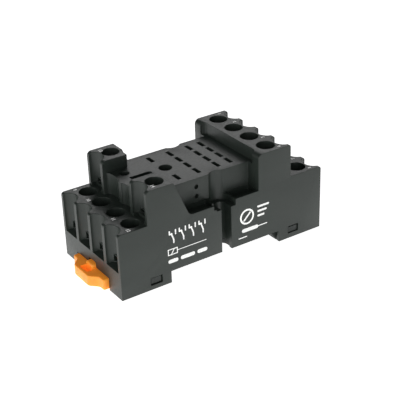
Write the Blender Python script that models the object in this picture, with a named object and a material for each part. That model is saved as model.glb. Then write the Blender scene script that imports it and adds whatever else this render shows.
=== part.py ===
"""Rail-mounted screw terminal socket for a fourteen-pin plug-in relay.

All sizes below are in millimetres and are turned into metres as each shape is made. They are
counted from the socket's own corner: x from the clip end, y from the middle plane and z from the
feet. The parent empty moves everything so that the middle of the rail seat is the world origin.
"""

import collections
import math

import bmesh
import bpy
from mathutils import Matrix, Vector

MM = 0.001
GRID_DIGITS = 7
GAP = 0.3  # between pieces that touch or slide
STEP = 0.2  # between the faces of two cuts that meet, so that they never share a plane

# Overall case
CASE_LENGTH = 66.0
TERMINAL_PITCH = 7.46
OUTER_WALL = 1.03
RIB_WIDTH = 1.3
LOWER_DECK_Z = 19.3
UPPER_DECK_Z = 29.0
PLATFORM_Z = 25.4
SIDE_LEDGE_Z = 18.3
CASE_WALL = 1.2

# Rail channel under the case
RAIL_CHANNEL_START = 15.3
RAIL_CHANNEL_LENGTH = 36.0
RAIL_SEAT_Z = 3.5
RAIL_SEAT_INSET = 2.0
RAIL_SEAT_RISE = 0.3
HOOK_REACH = 1.2
HOOK_TOP_Z = 2.3
HOOK_THICKNESS = 0.6
HOOK_FOOT_Z = 0.4

# Coil terminal towers at the clip end
TOWER_START = 8.8
TOWER_LENGTH = 7.7
TOWER_INNER_Y = 6.9
TOWER_FLANK = 5.7
PLATFORM_START = 10.0

# Relay platform and the block of upper terminals, counted back from the far end
PLATFORM_HALF_WIDTH = 10.5
UPPER_BLOCK_FROM_END = 20.5
UPPER_BLOCK_LENGTH = 9.7
PILASTER_DEPTH = 1.3
PILASTER_WIDTH = 2.9
PILASTER_ROUND = 2.0

# Screw wells, by distance from the nearer end
WELL_RADIUS = 2.52
COIL_WELL_RADIUS = 2.35
LOWER_WELL_INSET = 6.17
COIL_WELL_INSET = 13.9
UPPER_WELL_FROM_END = 16.33
OUTER_WELL_FROM_END = 5.58
DRIVER_CLEARANCE = 3.0
DRIVER_GROOVE = 0.6
BAY_DEPTH = 2.5
BAY_FLOOR_Z = 7.9

# Relay pin grid
PIN_PITCH_Y = 4.4
COIL_PIN_INSET = 7.11
COMMON_ROW = 6.35
OPEN_ROW = 12.7
CLOSED_ROW = 16.76
SLOT_LENGTH = 3.0
SLOT_WIDTH = 1.0
PLATFORM_SKIN = 1.2
KEY_HOLE_RADIUS = 1.8
KEY_HOLE_DEPTH = 5.0
KEY_HOLE_FROM_PIN = 0.6
KEY_SLOT_LENGTH = 6.6
KEY_SLOT_WIDTH = 1.5
KEY_SLOT_DEPTH = 2.5
KEY_SLOT_START = 13.4
TEST_HOLE_RADIUS = 1.3
TEST_HOLE_X = 13.7
TEST_HOLE_Y = 3.8
TEST_HOLE_DEPTH = 3.0

# Notches for two panel screws
PANEL_SCREW_Y = 12.6
PANEL_HEAD_RADIUS = 3.1
PANEL_SHANK_RADIUS = 1.6
PANEL_SEAT_Z = 16.5
POCKET_DEPTH = 0.7
POCKET_INSET = 0.7

# Terminal stack, counted from the underside of the contact bar
LOWER_BAR_Z = 10.3
UPPER_BAR_RISE = 1.8
STRIP_THICKNESS = 0.6
BAR_WIDTH = 3.0
CLAMP_LENGTH = 3.8
CLAMP_WIDTH = 5.0
CLAMP_SIDE = 0.7
CLAMP_FLOOR = 0.7
CLAMP_ROOF = 0.8
WIRE_SPACE = 1.9
CLAMP_TRAVEL = 1.6
SCREW_RADIUS = 1.45
SCREW_CLEARANCE = 0.35
THREAD_CLEARANCE = 0.29
HEAD_RADIUS = 2.1
HEAD_HEIGHT = 1.3
DRIVE_WIDTH = 0.8
DRIVE_DEPTH = 0.8
DRIVE_CROSS = 2.5
LEDGE = 0.4
WIRE_HOLE_WIDTH = 4.2
WIRE_HOLE_HEIGHT = 1.9
WIRE_HOLE_RISE = 0.2

# Contact forks under the platform
FORK_HEIGHT = 8.2
FORK_HALF_DEPTH = 1.0
FORK_HALF_WIDTH = 1.25
FORK_LEAF = 0.5
FORK_LEAD = 3.0
FORK_CLEARANCE = 0.4
RISER_CLEARANCE = 0.4
STEM_HALF_WIDTH = 1.0
STEM_HALF_DEPTH = 0.35

# Base plate
BASE_TOP_Z = 4.9
FOOT_WALL = 1.6
LATCH_WIDTH = 3.7
LATCH_HEIGHT = 2.3
LATCH_BOTTOM_Z = 1.3
CLIP_LATCH_START = 8.8
FAR_LATCH_FROM_END = 11.6

# Sliding rail clip
CLIP_HALF_WIDTH = 8.3
CLIP_PLATE_HALF_WIDTH = 7.9
CLIP_TOP_Z = 3.4
CLIP_BOTTOM_Z = 0.2
CLIP_PLATE_BOTTOM_Z = 1.2
CLIP_FLANGE = 1.5
CLIP_TONGUE = 3.7
CLIP_TONGUE_HALF_WIDTH = 3.8
CLIP_SHOULDER_HALF_WIDTH = 6.1
CLIP_NOSE = 1.3
CLIP_TRAVEL = 2.5
HOOD_HALF_WIDTH = 1.6
HOOD_Z = 5.0
THUMB_HOLLOW_START = 0.9
THUMB_HOLLOW_LENGTH = 2.0
STOP_PEG_RADIUS = 1.4
STOP_PEG_X = 6.5
BASE_LIP = 1.3

# Sizes worked out from the ones above
HALF_WIDTH = 2 * TERMINAL_PITCH - RIB_WIDTH / 2 + OUTER_WALL
BAY_HALF_WIDTH = (TERMINAL_PITCH - RIB_WIDTH) / 2
CHANNEL_END = RAIL_CHANNEL_START + RAIL_CHANNEL_LENGTH
RAIL_CENTRE_X = RAIL_CHANNEL_START + RAIL_CHANNEL_LENGTH / 2
TOWER_END = TOWER_START + TOWER_LENGTH
UPPER_BLOCK_START = CASE_LENGTH - UPPER_BLOCK_FROM_END
UPPER_BLOCK_END = UPPER_BLOCK_START + UPPER_BLOCK_LENGTH
PILASTER_START = UPPER_BLOCK_START - PILASTER_DEPTH
UPPER_BAR_Z = LOWER_DECK_Z + UPPER_BAR_RISE
CLAMP_ROOF_GAP = STRIP_THICKNESS + GAP
CLAMP_TOP = CLAMP_ROOF_GAP + CLAMP_ROOF
CLAMP_BOTTOM = -WIRE_SPACE - CLAMP_FLOOR
CHAMBER_TOP = CLAMP_TOP + CLAMP_TRAVEL + GAP
CHAMBER_HALF_LENGTH = CLAMP_LENGTH / 2 + GAP
CHAMBER_HALF_WIDTH = CLAMP_WIDTH / 2 + GAP
HEAD_BOTTOM = CHAMBER_TOP + LEDGE + GAP
FORK_TOP_Z = PLATFORM_Z - PLATFORM_SKIN - GAP
FORK_BOTTOM_Z = FORK_TOP_Z - FORK_HEIGHT
FIRST_PIN_X = TOWER_END + COIL_PIN_INSET
CAVITY_Z = BASE_TOP_Z + GAP
PANEL_SCREW_X = RAIL_CENTRE_X + 0.1
BELOW = -1.0
ABOVE = UPPER_DECK_Z + 2.0
OUTSIDE = HALF_WIDTH + 2.0

BLACK = ("socket_black", (0.052, 0.058, 0.054, 1.0), 0.48, 0.0)
BASE_BLACK = ("base_black", (0.040, 0.044, 0.042, 1.0), 0.55, 0.0)
ORANGE = ("clip_orange", (0.90, 0.27, 0.035, 1.0), 0.42, 0.0)
STEEL = ("zinc_steel", (0.62, 0.62, 0.60, 1.0), 0.34, 1.0)
BRASS = ("contact_brass", (0.78, 0.62, 0.33, 1.0), 0.30, 1.0)

Terminal = collections.namedtuple("Terminal", "name screw_x lane pin_x bar_z face")


def all_terminals():
    """Every terminal: its screw, its lane across the case, its relay pin and its wire side."""
    lanes = (1.5, 0.5, -0.5, -1.5)
    lower = LOWER_BAR_Z
    upper = UPPER_BAR_Z
    far = CASE_LENGTH
    rows = (
        ("com", LOWER_WELL_INSET, FIRST_PIN_X + COMMON_ROW, lower, 0.0),
        ("no", far - OUTER_WELL_FROM_END, FIRST_PIN_X + OPEN_ROW, lower, far),
        ("nc", far - UPPER_WELL_FROM_END, FIRST_PIN_X + CLOSED_ROW, upper, UPPER_BLOCK_END),
    )
    found = []
    for group, screw_x, pin_x, bar_z, face in rows:
        for number, lane in enumerate(lanes, start=1):
            found.append(Terminal(f"{group}_{number}", screw_x, lane, pin_x, bar_z, face))
    for number, lane in enumerate((1.5, -1.5), start=1):
        found.append(
            Terminal(f"coil_{number}", COIL_WELL_INSET, lane, FIRST_PIN_X, upper, TOWER_START)
        )
    return found


# Scene helpers


def new_collection(name, hidden=False):
    collection = bpy.data.collections.new(name)
    bpy.context.scene.collection.children.link(collection)
    collection.hide_render = hidden
    return collection


def make_material(name, colour, roughness, metallic):
    material = bpy.data.materials.new(name)
    material.use_nodes = True
    shader = material.node_tree.nodes["Principled BSDF"]
    shader.inputs["Base Color"].default_value = colour
    shader.inputs["Roughness"].default_value = roughness
    shader.inputs["Metallic"].default_value = metallic
    return material


def clear_scene():
    for obj in list(bpy.data.objects):
        bpy.data.objects.remove(obj, do_unlink=True)


def place(obj, collection, parent):
    collection.objects.link(obj)
    obj.parent = parent
    return obj


class Workshop:
    """The collections, the parent empty and the materials that every piece shares."""

    def __init__(self):
        self.parts = new_collection("relay_socket")
        self.cutters = new_collection("cutters", hidden=True)
        self.datum = bpy.data.objects.new("rail_seat_datum", None)
        self.parts.objects.link(self.datum)
        self.datum.location = Vector((-RAIL_CENTRE_X, 0.0, -RAIL_SEAT_Z)) * MM
        self.materials = {}
        self.booleans = []

    def material(self, recipe):
        if recipe[0] not in self.materials:
            self.materials[recipe[0]] = make_material(*recipe)
        return self.materials[recipe[0]]

    def part(self, name, mesh, recipe, pivot=(0.0, 0.0, 0.0)):
        """A visible piece, with its origin at pivot."""
        offset = Vector(pivot) * MM
        mesh.transform(Matrix.Translation(-offset))
        mesh.materials.append(self.material(recipe))
        obj = place(bpy.data.objects.new(name, mesh), self.parts, self.datum)
        obj.location = offset
        return obj

    def tool_set(self, name):
        """A collection of cutters or of shapes to add, for one Boolean."""
        tools = bpy.data.collections.new(name)
        self.cutters.children.link(tools)
        tools.hide_render = True
        return tools

    def tool(self, tools, mesh):
        obj = place(bpy.data.objects.new(f"{tools.name}_tool", mesh), tools, self.datum)
        obj.display_type = "WIRE"
        obj.hide_render = True
        return obj

    def boolean(self, obj, tools, operation):
        """Notes a Boolean. They all go on at the end, so that no shape waits for them."""
        self.booleans.append((obj, tools, operation))

    def add_booleans(self):
        for obj, tools, operation in self.booleans:
            modifier = obj.modifiers.new(tools.name, "BOOLEAN")
            modifier.operation = operation
            modifier.solver = "EXACT"
            modifier.operand_type = "COLLECTION"
            modifier.collection = tools


# Shapes


def box_mesh(low, high):
    low = Vector(low) * MM
    high = Vector(high) * MM
    shape = bmesh.new()
    size = Matrix.Diagonal((*(high - low), 1.0))
    bmesh.ops.create_cube(shape, size=1.0, matrix=Matrix.Translation((low + high) / 2) @ size)
    return finished_mesh(shape, "block")


def rod_mesh(x, y, low_z, high_z, radius, segments=16):
    """An upright cylinder."""
    shape = bmesh.new()
    middle = Vector((x, y, (low_z + high_z) / 2)) * MM
    bmesh.ops.create_cone(
        shape,
        cap_ends=True,
        segments=segments,
        radius1=radius * MM,
        radius2=radius * MM,
        depth=(high_z - low_z) * MM,
        matrix=Matrix.Translation(middle),
    )
    return finished_mesh(shape, "rod")


def finished_mesh(shape, name):
    """The shape as a mesh, with its points on a fine grid, so that flush faces are truly flush."""
    for vertex in shape.verts:
        vertex.co = [round(value, GRID_DIGITS) for value in vertex.co]
    bmesh.ops.recalc_face_normals(shape, faces=shape.faces)
    mesh = bpy.data.meshes.new(name)
    shape.to_mesh(mesh)
    shape.free()
    return mesh


def outline_mesh(points, low, high, upright):
    """A flat outline given thickness: across y when upright, otherwise up z."""
    curve = bpy.data.curves.new("outline", "CURVE")
    curve.dimensions = "2D"
    curve.fill_mode = "BOTH"
    curve.extrude = (high - low) / 2 * MM
    spline = curve.splines.new("POLY")
    spline.points.add(len(points) - 1)
    for corner, (u, v) in zip(spline.points, points):
        corner.co = (u * MM, v * MM, 0.0, 1.0)
    spline.use_cyclic_u = True
    outline = bpy.data.objects.new("outline", curve)
    bpy.context.scene.collection.objects.link(outline)
    graph = bpy.context.evaluated_depsgraph_get()
    mesh = bpy.data.meshes.new_from_object(outline.evaluated_get(graph))
    bpy.data.objects.remove(outline, do_unlink=True)
    middle = (low + high) / 2 * MM
    if upright:
        turn = Matrix.Translation((0.0, middle, 0.0)) @ Matrix.Rotation(math.pi / 2, 4, "X")
    else:
        turn = Matrix.Translation((0.0, 0.0, middle))
    shape = bmesh.new()
    shape.from_mesh(mesh)
    bpy.data.meshes.remove(mesh)
    bmesh.ops.remove_doubles(shape, verts=shape.verts, dist=1e-6)
    bmesh.ops.dissolve_limit(shape, angle_limit=0.01, verts=shape.verts, edges=shape.edges)
    bmesh.ops.transform(shape, matrix=turn, verts=shape.verts)
    return finished_mesh(shape, "plate")


def rounded(corners, steps=3):
    """Outline points for corners (u, v, radius), each corner with a radius turned into an arc."""
    points = []
    for index, (u, v, radius) in enumerate(corners):
        here = Vector((u, v))
        if radius == 0:
            points.append((u, v))
            continue
        before = (Vector(corners[index - 1][:2]) - here).normalized()
        after = (Vector(corners[(index + 1) % len(corners)][:2]) - here).normalized()
        half = before.angle(after) / 2
        centre = here + (before + after).normalized() * radius / math.sin(half)
        start = here + before * radius / math.tan(half) - centre
        end = here + after * radius / math.tan(half) - centre
        sweep = start.angle_signed(end)
        for step in range(steps + 1):
            arm = Matrix.Rotation(-sweep * step / steps, 2) @ start
            points.append(tuple(centre + arm))
    return points


def mirrored_boxes(low, high):
    """The same box on both sides of the middle plane."""
    other_low = (low[0], -high[1], low[2])
    other_high = (high[0], -low[1], high[2])
    return [box_mesh(low, high), box_mesh(other_low, other_high)]


# Upper housing


def case_mesh():
    """The side silhouette of the case, as wide as the case."""
    corners = (
        (0.0, 0.0, 0.0),
        (RAIL_CHANNEL_START, 0.0, 0.0),
        (RAIL_CHANNEL_START, RAIL_SEAT_Z, 0.0),
        (CHANNEL_END, RAIL_SEAT_Z, 0.0),
        (CHANNEL_END, 0.0, 0.0),
        (CASE_LENGTH, 0.0, 0.0),
        (CASE_LENGTH, LOWER_DECK_Z, 0.6),
        (UPPER_BLOCK_END, LOWER_DECK_Z, 0.0),
        (UPPER_BLOCK_END, UPPER_DECK_Z, 0.5),
        (TOWER_START, UPPER_DECK_Z, 1.3),
        (TOWER_START, LOWER_DECK_Z, 0.0),
        (0.0, LOWER_DECK_Z, 0.9),
    )
    return outline_mesh(rounded(corners), -HALF_WIDTH, HALF_WIDTH, upright=True)


def hollow_arc(end_x, y, half_width, depth, toward, steps):
    """Points of a half oval hollow, from low y to high y, that reaches depth past end_x."""
    points = []
    for step in range(steps + 1):
        angle = math.pi * step / steps
        points.append(
            (end_x + toward * depth * math.sin(angle), y - half_width * math.cos(angle))
        )
    return points


def driver_wall_outline():
    """The wall between the towers, with a groove for a screwdriver at each inner well."""
    clear = TOWER_START - 1
    half = TOWER_INNER_Y - STEP
    points = [(clear, -half), (PLATFORM_START, -half)]
    for side in (-1, 1):
        y = side * TERMINAL_PITCH / 2
        points += hollow_arc(PLATFORM_START, y, DRIVER_CLEARANCE, DRIVER_GROOVE, 1.0, 6)
    points += [(PLATFORM_START, half), (clear, half)]
    return points


def relay_bay_outline():
    """The plan of the open space over the platform, from the towers to the upper block."""
    half = PLATFORM_HALF_WIDTH + STEP
    shoulder = PILASTER_START - 1
    inner = HALF_WIDTH - PILASTER_WIDTH
    one_side = [
        (TOWER_START - 1, TOWER_INNER_Y),
        (TOWER_END, TOWER_INNER_Y),
        (TOWER_END, half),
        (shoulder, half),
        (shoulder, inner),
        (UPPER_BLOCK_START, inner),
    ]
    return one_side + [(x, -y) for x, y in one_side[::-1]]


def side_recess_outline():
    """The side view of a recess, from a tower's sloping flank to the rounded pilaster."""
    centre_x = PILASTER_START + PILASTER_ROUND
    centre_z = UPPER_DECK_Z - PILASTER_ROUND
    points = [(TOWER_END - 0.1, ABOVE), (TOWER_END - 0.1, UPPER_DECK_Z)]
    points += [
        (TOWER_END + 1.0, UPPER_DECK_Z - 0.9),
        (TOWER_END + TOWER_FLANK - 1.0, SIDE_LEDGE_Z + 1.1),
        (TOWER_END + TOWER_FLANK, SIDE_LEDGE_Z),
        (PILASTER_START, SIDE_LEDGE_Z),
    ]
    for step in range(4):
        angle = math.pi / 2 * step / 3
        x = centre_x - PILASTER_ROUND * math.cos(angle)
        points.append((x, centre_z + PILASTER_ROUND * math.sin(angle)))
    points.append((centre_x, ABOVE))
    return points


def relay_bay_shapes():
    """The space over the platform, the gap between the towers and the recesses beside them."""
    shapes = [
        outline_mesh(relay_bay_outline(), PLATFORM_Z, ABOVE, upright=False),
        outline_mesh(driver_wall_outline(), LOWER_DECK_Z, PLATFORM_Z + 1, upright=False),
    ]
    for side in (-1, 1):
        near, far = sorted((side * PLATFORM_HALF_WIDTH, side * OUTSIDE))
        shapes.append(outline_mesh(side_recess_outline(), near, far, upright=True))
    inner = PLATFORM_HALF_WIDTH + 2 * STEP
    shapes += mirrored_boxes(
        (PILASTER_START - 0.5, inner, SIDE_LEDGE_Z + STEP),
        (UPPER_BLOCK_START - STEP, HALF_WIDTH - PILASTER_WIDTH - STEP, PLATFORM_Z + 1),
    )
    for start, end in (
        (
            TOWER_END + TOWER_FLANK + POCKET_INSET,
            PANEL_SCREW_X - PANEL_HEAD_RADIUS - POCKET_INSET,
        ),
        (PANEL_SCREW_X + PANEL_HEAD_RADIUS + POCKET_INSET, PILASTER_START - POCKET_INSET),
    ):
        shapes += mirrored_boxes(
            (start, inner, SIDE_LEDGE_Z - POCKET_DEPTH),
            (end, HALF_WIDTH - OUTER_WALL, SIDE_LEDGE_Z + 1.2),
        )
    return shapes


def panel_screw_shapes():
    """A stepped U notch in each side, for a screw that holds the socket to a panel."""
    shapes = []
    for side in (-1, 1):
        head = panel_notch_outline(side, PANEL_HEAD_RADIUS)
        shank = panel_notch_outline(side, PANEL_SHANK_RADIUS)
        shapes.append(outline_mesh(head, PANEL_SEAT_Z, PLATFORM_Z + 1, upright=False))
        shapes.append(outline_mesh(shank, BELOW, PANEL_SEAT_Z + 0.5, upright=False))
    return shapes


def panel_notch_outline(side, radius):
    """A U open to one side of the case."""
    points = [(PANEL_SCREW_X - radius, side * OUTSIDE)]
    for step in range(9):
        angle = math.pi * step / 8
        x = PANEL_SCREW_X - radius * math.cos(angle)
        points.append((x, side * (PANEL_SCREW_Y - radius * math.sin(angle))))
    points.append((PANEL_SCREW_X + radius, side * OUTSIDE))
    return points


def platform_shapes(terminals):
    """Slots for the relay's pins, with a fork chamber under each, and the keying holes."""
    shapes = []
    for terminal in terminals:
        x = terminal.pin_x
        y = terminal.lane * PIN_PITCH_Y
        shapes.append(
            box_mesh(
                (x - SLOT_WIDTH / 2, y - SLOT_LENGTH / 2, FORK_TOP_Z - 1),
                (x + SLOT_WIDTH / 2, y + SLOT_LENGTH / 2, PLATFORM_Z + 1),
            )
        )
        shapes.append(
            box_mesh(
                (
                    x - FORK_HALF_DEPTH - FORK_CLEARANCE,
                    y - FORK_HALF_WIDTH - FORK_CLEARANCE,
                    CAVITY_Z - 1,
                ),
                (
                    x + FORK_HALF_DEPTH + FORK_CLEARANCE,
                    y + FORK_HALF_WIDTH + FORK_CLEARANCE,
                    FORK_TOP_Z + GAP,
                ),
            )
        )
    shapes.append(
        rod_mesh(
            FIRST_PIN_X + KEY_HOLE_FROM_PIN,
            0.0,
            PLATFORM_Z - KEY_HOLE_DEPTH,
            PLATFORM_Z + 1,
            KEY_HOLE_RADIUS,
        )
    )
    shapes.append(
        box_mesh(
            (KEY_SLOT_START, -KEY_SLOT_WIDTH / 2, PLATFORM_Z - KEY_SLOT_DEPTH),
            (KEY_SLOT_START + KEY_SLOT_LENGTH, KEY_SLOT_WIDTH / 2, PLATFORM_Z + 1),
        )
    )
    for side in (-1, 1):
        shapes.append(
            rod_mesh(
                TEST_HOLE_X,
                side * TEST_HOLE_Y,
                PLATFORM_Z - TEST_HOLE_DEPTH,
                PLATFORM_Z + 1,
                TEST_HOLE_RADIUS,
            )
        )
    return shapes


def terminal_shapes(terminal):
    """The well, the clamp chamber, the wire hole and the scalloped wire bay of one terminal."""
    x = terminal.screw_x
    y = terminal.lane * TERMINAL_PITCH
    bar = terminal.bar_z
    lower = bar == LOWER_BAR_Z
    deck = LOWER_DECK_Z if lower else UPPER_DECK_Z
    bay_floor = BAY_FLOOR_Z if lower else LOWER_DECK_Z
    inward = 1.0 if terminal.face < CASE_LENGTH / 2 else -1.0
    ledge_z = bar + CHAMBER_TOP + LEDGE
    well_radius = COIL_WELL_RADIUS if terminal.face == TOWER_START else WELL_RADIUS
    hole = sorted((terminal.face + inward * (BAY_DEPTH - 0.6), x))
    bay = [(terminal.face - inward * 0.5, y - BAY_HALF_WIDTH)]
    bay += hollow_arc(terminal.face, y, BAY_HALF_WIDTH, BAY_DEPTH, inward, 10)
    bay.append((terminal.face - inward * 0.5, y + BAY_HALF_WIDTH))
    return [
        rod_mesh(x, y, ledge_z, deck + 1, well_radius, segments=20),
        rod_mesh(x, y, ledge_z - LEDGE - 1, ledge_z + 0.5, SCREW_RADIUS + SCREW_CLEARANCE),
        box_mesh(
            (x - CHAMBER_HALF_LENGTH, y - CHAMBER_HALF_WIDTH, CAVITY_Z - 1),
            (x + CHAMBER_HALF_LENGTH, y + CHAMBER_HALF_WIDTH, bar + CHAMBER_TOP),
        ),
        box_mesh(
            (hole[0], y - WIRE_HOLE_WIDTH / 2, bar + WIRE_HOLE_RISE - WIRE_HOLE_HEIGHT),
            (hole[1], y + WIRE_HOLE_WIDTH / 2, bar + WIRE_HOLE_RISE),
        ),
        outline_mesh(bay, bay_floor, deck + 1, upright=False),
    ]


def base_cavity_shapes():
    """Room for the base plate inside the skirt, its latch windows and the clip's opening."""
    inner = HALF_WIDTH - CASE_WALL
    shapes = [
        box_mesh((CASE_WALL, -inner, BELOW), (CASE_LENGTH - CASE_WALL, inner, CAVITY_Z)),
        box_mesh(
            (BELOW, -CLIP_HALF_WIDTH - GAP, BELOW),
            (CASE_WALL + 1, CLIP_HALF_WIDTH + GAP, CLIP_TOP_Z + GAP),
        ),
        box_mesh(
            (BELOW, -HOOD_HALF_WIDTH - GAP, BELOW),
            (CASE_WALL + 1, HOOD_HALF_WIDTH + GAP, HOOD_Z + GAP),
        ),
    ]
    for start in latch_starts():
        shapes += mirrored_boxes(
            (start, inner - 1, LATCH_BOTTOM_Z),
            (start + LATCH_WIDTH, OUTSIDE, LATCH_BOTTOM_Z + LATCH_HEIGHT),
        )
    return shapes


def latch_starts():
    return (CLIP_LATCH_START, CASE_LENGTH - FAR_LATCH_FROM_END)


def make_upper_housing(shop, terminals):
    housing = shop.part("upper_housing", case_mesh(), BLACK)
    outside = shop.tool_set("housing_outside_cuts")
    for mesh in relay_bay_shapes() + panel_screw_shapes():
        shop.tool(outside, mesh)
    shop.boolean(housing, outside, "DIFFERENCE")
    inside = shop.tool_set("housing_inside_cuts")
    for mesh in platform_shapes(terminals) + base_cavity_shapes():
        shop.tool(inside, mesh)
    shop.boolean(housing, inside, "DIFFERENCE")
    stacks = shop.tool_set("housing_terminal_cuts")
    for terminal in terminals:
        for mesh in terminal_shapes(terminal) + strip_channels(terminal):
            shop.tool(stacks, mesh)
    shop.boolean(housing, stacks, "DIFFERENCE")


# Contacts


def strip_route(terminal):
    """The flat run of a contact: straight at its clamp, aslant to its pin's lane, and straight."""
    toward = 1.0 if terminal.pin_x > terminal.screw_x else -1.0
    terminal_y = terminal.lane * TERMINAL_PITCH
    pin_y = terminal.lane * PIN_PITCH_Y
    pin_end = terminal.pin_x + toward * FORK_HALF_DEPTH
    if terminal.bar_z == UPPER_BAR_Z:
        start = terminal.screw_x + toward * (CHAMBER_HALF_LENGTH + GAP)
        bend = start + toward * (STRIP_THICKNESS + 2 * GAP)
        settle = terminal.pin_x - toward * (FORK_HALF_DEPTH + 3 * GAP)
        return ((start, terminal_y), (bend, terminal_y), (settle, pin_y), (pin_end, pin_y))
    start = terminal.screw_x - toward * CLAMP_LENGTH / 2
    bend = terminal.screw_x + toward * (CHAMBER_HALF_LENGTH + 1)
    settle = terminal.pin_x - toward * FORK_LEAD
    return ((start, terminal_y), (bend, terminal_y), (settle, pin_y), (pin_end, pin_y))


def strip_outline(route, margin):
    """The route given its width, with margin more all round."""
    half_widths = (BAR_WIDTH / 2, BAR_WIDTH / 2, FORK_HALF_WIDTH, FORK_HALF_WIDTH)
    toward = 1.0 if route[-1][0] > route[0][0] else -1.0
    first = (route[0][0] - toward * margin, route[0][1])
    last = (route[-1][0] + toward * margin, route[-1][1])
    stations = (first, route[1], route[2], last)
    one_side = [(x, y + half + margin) for (x, y), half in zip(stations, half_widths)]
    other_side = [(x, y - half - margin) for (x, y), half in zip(stations, half_widths)]
    return one_side + other_side[::-1]


def riser_span(terminal, margin):
    """Where an upper contact climbs beside its clamp chamber, along x."""
    toward = 1.0 if terminal.pin_x > terminal.screw_x else -1.0
    near = terminal.screw_x + toward * (CHAMBER_HALF_LENGTH + GAP)
    low, high = sorted((near, near + toward * STRIP_THICKNESS))
    return low - margin, high + margin


def run_z(terminal):
    """The underside of a contact's flat run."""
    return FORK_BOTTOM_Z if terminal.bar_z == UPPER_BAR_Z else terminal.bar_z


def strip_channels(terminal):
    """The channels that a contact drops into from below, a gap wider than the contact."""
    top = run_z(terminal) + STRIP_THICKNESS + GAP
    route = list(strip_route(terminal))
    route[0] = (terminal.screw_x, route[0][1])
    outline = strip_outline(route, GAP)
    shapes = [outline_mesh(outline, CAVITY_Z - 1, top, upright=False)]
    if terminal.bar_z == UPPER_BAR_Z:
        low, high = riser_span(terminal, GAP)
        y = terminal.lane * TERMINAL_PITCH
        half = BAR_WIDTH / 2 + RISER_CLEARANCE
        reach = sorted((low, high, terminal.screw_x))
        shapes.append(
            box_mesh(
                (reach[0], y - half, CAVITY_Z - 1),
                (reach[-1], y + half, terminal.bar_z + STRIP_THICKNESS + GAP),
            )
        )
    return shapes


def fork_mesh(terminal):
    """The spring fork that grips a relay pin, standing on the contact's run."""
    x = terminal.pin_x
    y = terminal.lane * PIN_PITCH_Y
    floor = FORK_BOTTOM_Z + STRIP_THICKNESS
    outline = (
        (x - FORK_HALF_DEPTH, FORK_BOTTOM_Z),
        (x + FORK_HALF_DEPTH, FORK_BOTTOM_Z),
        (x + FORK_HALF_DEPTH, FORK_TOP_Z),
        (x + FORK_HALF_DEPTH - FORK_LEAF, FORK_TOP_Z),
        (x + FORK_HALF_DEPTH - FORK_LEAF, floor),
        (x - FORK_HALF_DEPTH + FORK_LEAF, floor),
        (x - FORK_HALF_DEPTH + FORK_LEAF, FORK_TOP_Z),
        (x - FORK_HALF_DEPTH, FORK_TOP_Z),
    )
    return outline_mesh(outline, y - FORK_HALF_WIDTH, y + FORK_HALF_WIDTH, upright=True)


def make_contact(shop, terminal):
    """One stamped contact: bar, run and fork, with a stem or a riser between their levels."""
    bottom = run_z(terminal)
    run = outline_mesh(
        strip_outline(strip_route(terminal), 0.0), bottom, bottom + STRIP_THICKNESS, upright=False
    )
    name = f"contact_{terminal.name}"
    contact = shop.part(name, run, BRASS)
    added = shop.tool_set(f"{name}_joined")
    y = terminal.lane * TERMINAL_PITCH
    half = BAR_WIDTH / 2
    if terminal.bar_z == UPPER_BAR_Z:
        shop.tool(added, fork_mesh(terminal))
        low, high = riser_span(terminal, 0.0)
        top = terminal.bar_z + STRIP_THICKNESS
        shop.tool(added, box_mesh((low, y - half, bottom), (high, y + half, top)))
        toward = 1.0 if terminal.pin_x > terminal.screw_x else -1.0
        tip = terminal.screw_x - toward * CLAMP_LENGTH / 2
        start, end = sorted((tip, (low + high) / 2))
        shop.tool(added, box_mesh((start, y - half, terminal.bar_z), (end, y + half, top)))
    else:
        shop.tool(added, fork_mesh(terminal))
        pin_y = terminal.lane * PIN_PITCH_Y
        shop.tool(
            added,
            box_mesh(
                (
                    terminal.pin_x - STEM_HALF_DEPTH,
                    pin_y - STEM_HALF_WIDTH,
                    bottom + STRIP_THICKNESS / 2,
                ),
                (
                    terminal.pin_x + STEM_HALF_DEPTH,
                    pin_y + STEM_HALF_WIDTH,
                    FORK_BOTTOM_Z + STRIP_THICKNESS / 2,
                ),
            ),
        )
    shop.boolean(contact, added, "UNION")


# Clamps and screws


def make_wire_clamp(shop, terminal):
    """A square cage round the contact bar. Its threaded roof rides on the terminal screw."""
    x = terminal.screw_x
    y = terminal.lane * TERMINAL_PITCH
    bar = terminal.bar_z
    half = CLAMP_WIDTH / 2
    low = (x - CLAMP_LENGTH / 2, y - half, bar + CLAMP_BOTTOM)
    high = (x + CLAMP_LENGTH / 2, y + half, bar + CLAMP_TOP)
    name = f"wire_clamp_{terminal.name}"
    clamp = shop.part(name, box_mesh(low, high), STEEL, pivot=(x, y, bar))
    cuts = shop.tool_set(f"{name}_cuts")
    shop.tool(
        cuts,
        box_mesh(
            (low[0] - 1, low[1] + CLAMP_SIDE, low[2] + CLAMP_FLOOR),
            (high[0] + 1, high[1] - CLAMP_SIDE, bar + CLAMP_ROOF_GAP),
        ),
    )
    hole_radius = SCREW_RADIUS + THREAD_CLEARANCE
    shop.tool(cuts, rod_mesh(x, y, bar, high[2] + 1, hole_radius, segments=12))
    shop.boolean(clamp, cuts, "DIFFERENCE")


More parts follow.
